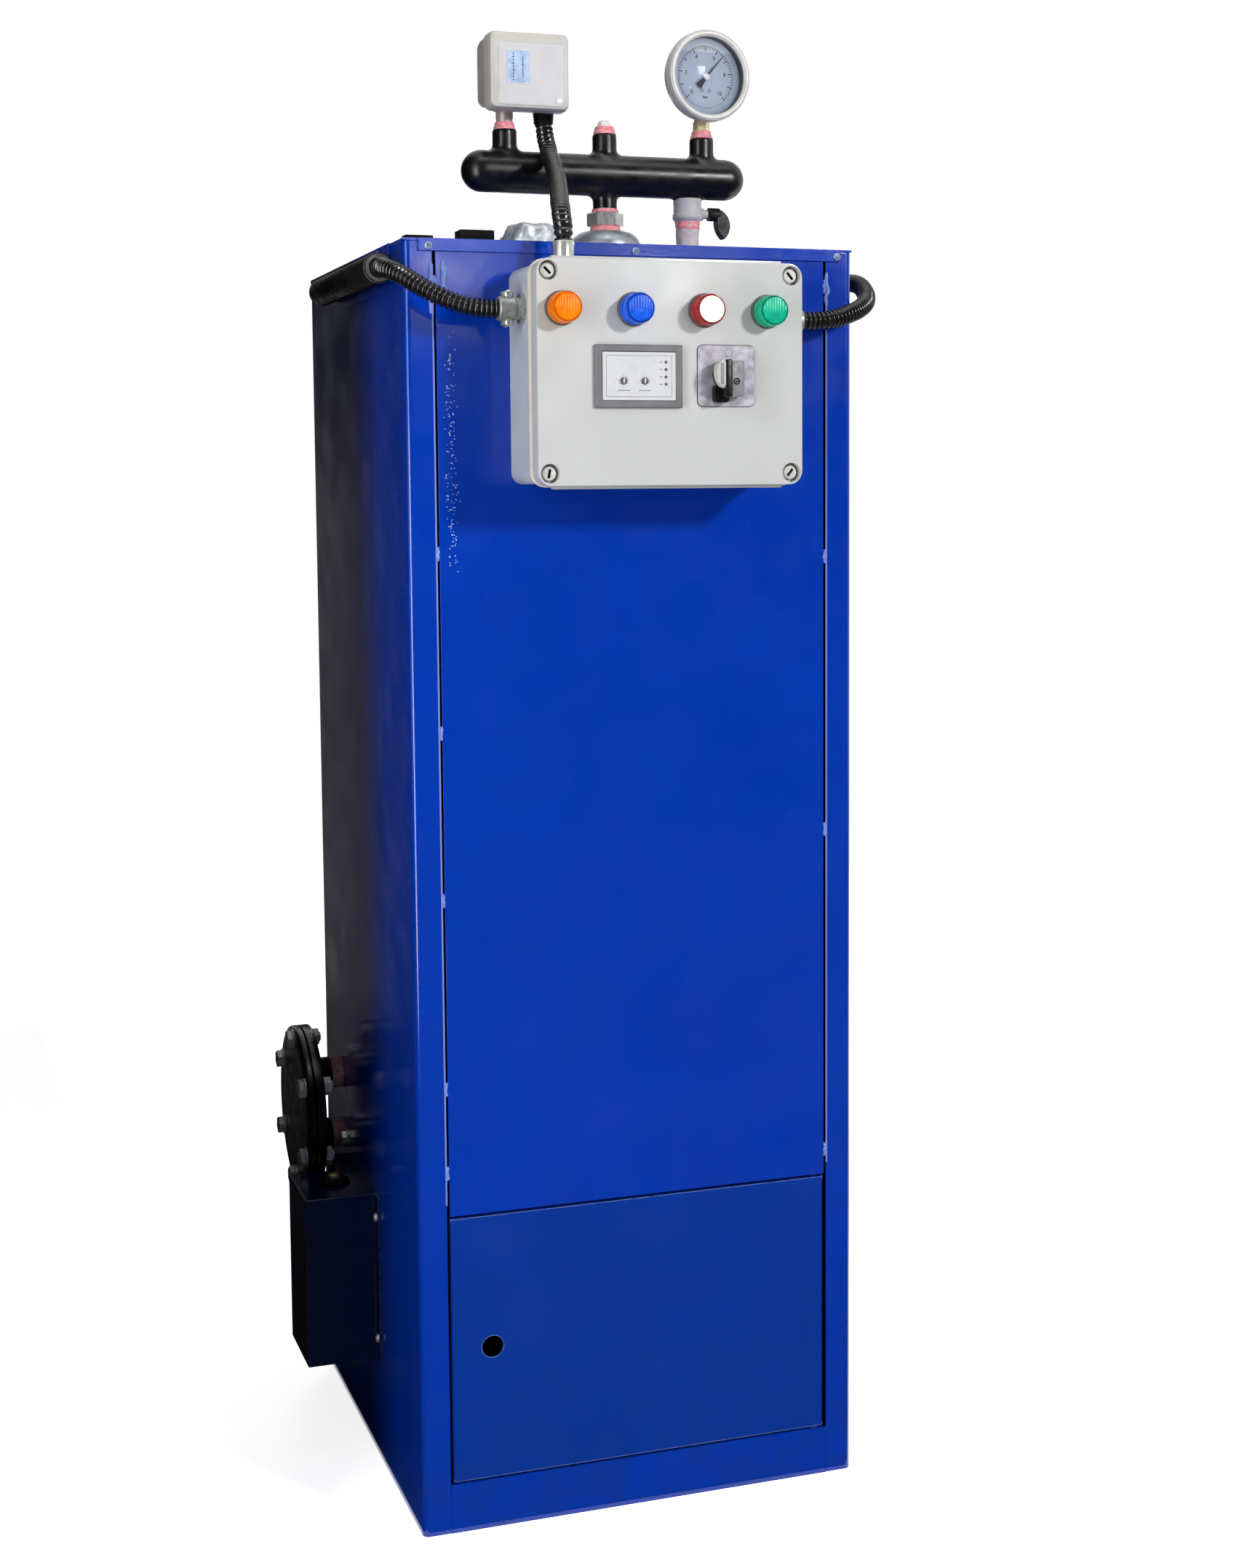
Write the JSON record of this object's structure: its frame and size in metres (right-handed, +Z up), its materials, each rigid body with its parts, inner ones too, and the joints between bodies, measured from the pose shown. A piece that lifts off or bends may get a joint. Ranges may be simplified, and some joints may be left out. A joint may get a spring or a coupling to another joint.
{
  "type": "vertical steam boiler",
  "caption": "Upright steam boiler in a painted sheet steel cabinet with a control box, a steam header with gauge, pressure switch and valve, a level chamber and an access door.",
  "frame": {"origin": "middle of the cabinet's base on the floor", "axes": "+X to the right seen from the front, +Y to the back, +Z up; the front faces -Y"},
  "size_m": [0.5285, 0.5368, 1.386],
  "materials": {
    "cabinet_paint": "gloss royal blue",
    "door_paint": "satin royal blue, worn at the top edge",
    "pump_paint": "satin dark blue",
    "boiler_steel": "matte dark heat-proof paint",
    "burner_iron": "rough",
    "header_paint": "gloss black",
    "galvanised": "dull galvanised",
    "bright_zinc": "bright zinc",
    "tape_pink": "matte",
    "foil": "crumpled foil",
    "switch_grey": "satin light grey",
    "brass": "satin",
    "gauge_steel": "polished",
    "dial_face": "matte pale blue-grey",
    "gauge_glass": "clear",
    "pointer_black": "matte black",
    "lever_black": "satin black grip",
    "box_grey": "satin light grey",
    "collar_dark": "satin black",
    "lens_orange": "clear orange",
    "lens_blue": "clear blue",
    "lens_red": "clear red",
    "lens_green": "clear green",
    "relay_dark": "satin dark grey",
    "plate_metal": "bright",
    "knob_black": "satin black",
    "conduit_black": "satin black",
    "black_rubber": "matte"
  },
  "bodies": {
    "cabinet": {"left_panel": "cabinet_paint", "right_panel": "cabinet_paint", "back_panel": "cabinet_paint", "front_panel": "cabinet_paint", "front_rail": "cabinet_paint", "roof": "cabinet_paint", "pump_box": "pump_paint", "base_plate": "boiler_steel", "drum_shell": "boiler_steel", "drum_top_head": "boiler_steel", "drum_bottom_head": "boiler_steel", "drum_legs": "boiler_steel", "burner": "burner_iron", "steam_header": "header_paint", "chamber_flange": "header_paint", "chamber_cover": "header_paint", "steam_dome": "galvanised", "hexagon_nipple": "galvanised", "switch_nipple": "galvanised", "valve_tail_pipe": "galvanised", "chamber_pipes": "galvanised", "header_plug": "bright_zinc", "chamber_bolts": "bright_zinc", "conduit_glands": "bright_zinc", "valve_body": "bright_zinc", "thread_tape": "tape_pink", "insulation_wrap": "foil", "pressure_switch_case": "switch_grey", "pressure_switch_cover": "switch_grey", "gauge_stem": "brass", "brass_fitting": "brass", "gauge_case": "gauge_steel", "gauge_bezel": "gauge_steel", "gauge_dial": "dial_face", "gauge_glass": "gauge_glass", "gauge_pointer": "pointer_black", "control_box_body": "box_grey", "control_box_lid": "box_grey", "lid_screws": "box_grey", "lamp_collars": "collar_dark", "lamp_lens_orange": "lens_orange", "lamp_lens_blue": "lens_blue", "lamp_lens_red": "lens_red", "lamp_lens_green": "lens_green", "level_relay": "relay_dark", "switch_plate": "plate_metal", "left_conduit": "conduit_black", "right_conduit": "conduit_black", "switch_conduit": "conduit_black", "conduit_sleeve": "black_rubber", "right_grommet": "black_rubber", "pump_grommet": "black_rubber"},
    "door": {"access_door": "door_paint"},
    "knob": {"switch_knob": "knob_black"},
    "lever": {"valve_lever": "lever_black"}
  },
  "joints": [
    {"name": "door_hinge", "type": "hinge", "parent": "cabinet", "child": "door", "pos_m": [0.1735, -0.202, 0.169], "axis": [0, 0, 1], "range_deg": [0, 95]},
    {"name": "knob_turn", "type": "hinge", "parent": "cabinet", "child": "knob", "pos_m": [0.04548, -0.303, 1.0351], "axis": [0, 1, 0], "range_deg": [0, 90]},
    {"name": "lever_turn", "type": "hinge", "parent": "cabinet", "child": "lever", "pos_m": [0.15, 0, 1.20993], "axis": [-1, 0, 0], "range_deg": [0, 90]}
  ]
}
